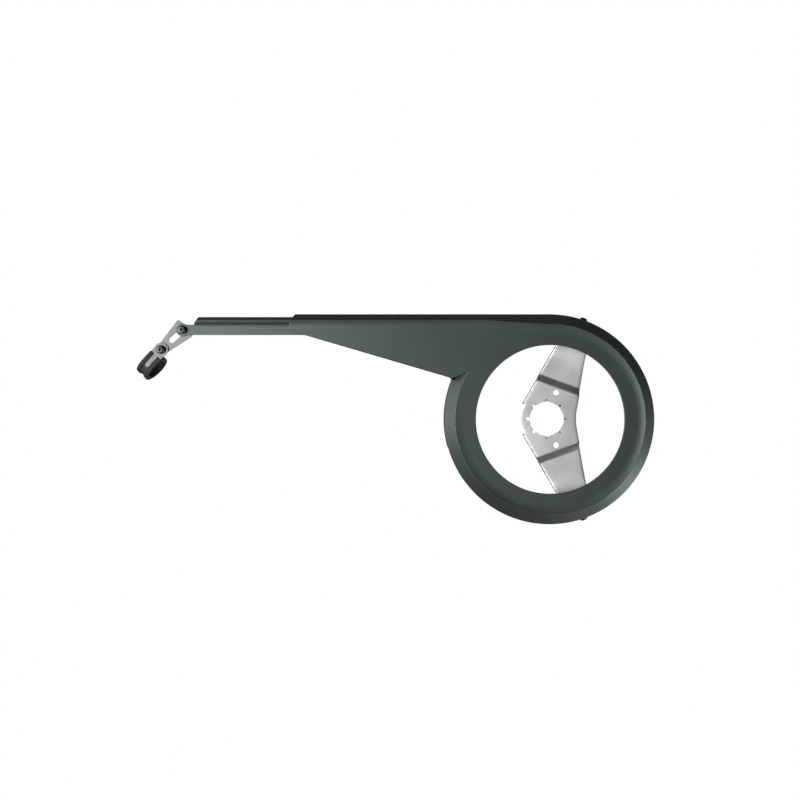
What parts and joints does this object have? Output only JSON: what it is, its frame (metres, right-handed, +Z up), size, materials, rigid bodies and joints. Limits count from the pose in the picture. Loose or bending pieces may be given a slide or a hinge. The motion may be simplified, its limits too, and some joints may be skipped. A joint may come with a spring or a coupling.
{
  "type": "bicycle chain guard",
  "caption": "Black moulded chain guard ring with a rear arm, a sliding rail, a slotted link, a rubber-lined chainstay clip and a steel bottom bracket plate.",
  "frame": {"origin": "centre of the bottom bracket hole, on the outboard face of its plate", "axes": "+X points forward along the bicycle, +Z up, and -Y outboard, towards the crank"},
  "size_m": [0.5222, 0.0393, 0.2116],
  "materials": {
    "black_plastic": "fine matt moulded, greenish black",
    "bare_steel": "satin bare steel",
    "grey_steel": "dull zinc grey",
    "black_steel": "black oxide",
    "black_rubber": "soft black rubber"
  },
  "bodies": {
    "guard": {"guard_shell": "black_plastic", "bottom_bracket_plate": "bare_steel", "upper_rim_screw": "black_steel", "upper_rim_nut": "bare_steel", "lower_rim_screw": "black_steel", "lower_rim_nut": "bare_steel"},
    "rail": {"extension_rail": "black_plastic"},
    "pivot": {"upper_bolt": "black_steel", "upper_washer": "bare_steel", "upper_nut": "bare_steel"},
    "link": {"link_plate": "grey_steel", "lower_bolt": "black_steel", "lower_washer": "bare_steel", "lower_nut": "bare_steel"},
    "clip": {"clip_band": "grey_steel", "clip_rubber": "black_rubber"}
  },
  "joints": [
    {"name": "rail_slide", "type": "slide", "parent": "guard", "child": "rail", "axis": [-1, 0, 0], "range_m": [-0.06, 0.03]},
    {"name": "link_swivel", "type": "hinge", "parent": "rail", "child": "pivot", "pos_m": [-0.3685, -0.0252, 0.08975], "axis": [0, -1, 0], "range_deg": [-40, 40]},
    {"name": "link_slide", "type": "slide", "parent": "pivot", "child": "link", "axis": [0.7337, 0, 0.6794], "range_m": [0, 0.008]},
    {"name": "clip_swivel", "type": "hinge", "parent": "link", "child": "clip", "pos_m": [-0.39, -0.0252, 0.06984], "axis": [0, -1, 0], "range_deg": [-50, 50]}
  ]
}
